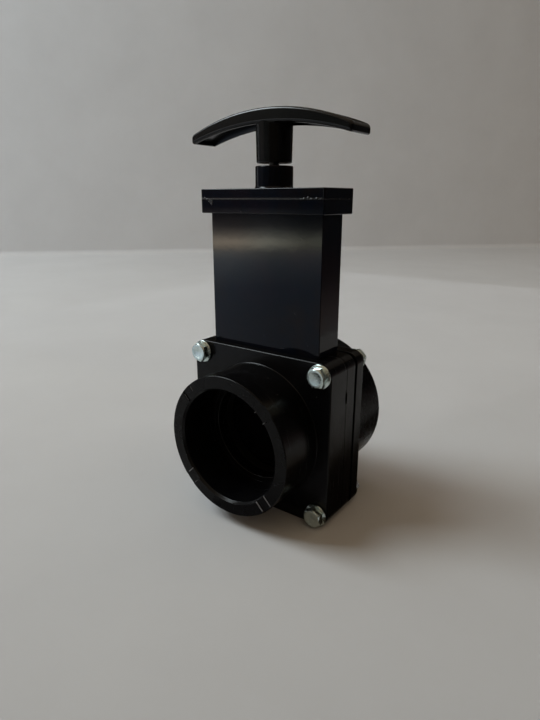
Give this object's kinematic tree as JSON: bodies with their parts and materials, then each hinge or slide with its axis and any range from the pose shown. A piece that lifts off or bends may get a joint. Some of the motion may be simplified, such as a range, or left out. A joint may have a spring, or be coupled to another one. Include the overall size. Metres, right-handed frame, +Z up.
{
  "type": "knife gate valve",
  "caption": "Black plastic slide gate valve: bolted square flanges with glue sockets, a tall flat gate housing and a curved T-handle that pulls the gate up to open the bore.",
  "frame": {"origin": "on the ground under the middle of the valve, half way between the two pipe ends", "axes": "+Z up along the stem, Y along the pipe with the front pipe end at -Y, X across the valve"},
  "size_m": [0.079, 0.0754, 0.1731],
  "materials": {
    "body_plastic": "satin black moulding",
    "housing_plastic": "glossy black moulding",
    "handle_plastic": "satin black moulding",
    "gate_plastic": "smooth black moulding",
    "seal_rubber": "matt black rubber",
    "bush_nylon": "natural nylon",
    "zinc_steel": "bright zinc plate",
    "rod_steel": "blackened steel"
  },
  "bodies": {
    "body": {"front_body": "body_plastic", "rear_body": "body_plastic", "body_gasket": "seal_rubber", "gate_housing": "housing_plastic", "housing_cap": "housing_plastic", "front_gate_seal": "seal_rubber", "rear_gate_seal": "seal_rubber", "stem_o_ring_lower": "seal_rubber", "stem_o_ring_upper": "seal_rubber", "stem_bush": "bush_nylon", "bolt_top_left": "zinc_steel", "bolt_top_right": "zinc_steel", "bolt_bottom_left": "zinc_steel", "bolt_bottom_right": "zinc_steel", "nut_top_left": "zinc_steel", "nut_top_right": "zinc_steel", "nut_bottom_left": "zinc_steel", "nut_bottom_right": "zinc_steel"},
    "gate": {"gate_blade": "gate_plastic"},
    "stem": {"stem_rod": "rod_steel", "handle": "handle_plastic"}
  },
  "joints": [
    {"name": "gate_slide", "type": "slide", "parent": "body", "child": "gate", "axis": [0, 0, 1], "range_m": [0, 0.0485]},
    {"name": "handle_turn", "type": "hinge", "parent": "gate", "child": "stem", "pos_m": [0, -0.0027, 0.16], "axis": [0, 0, 1], "continuous": true}
  ]
}
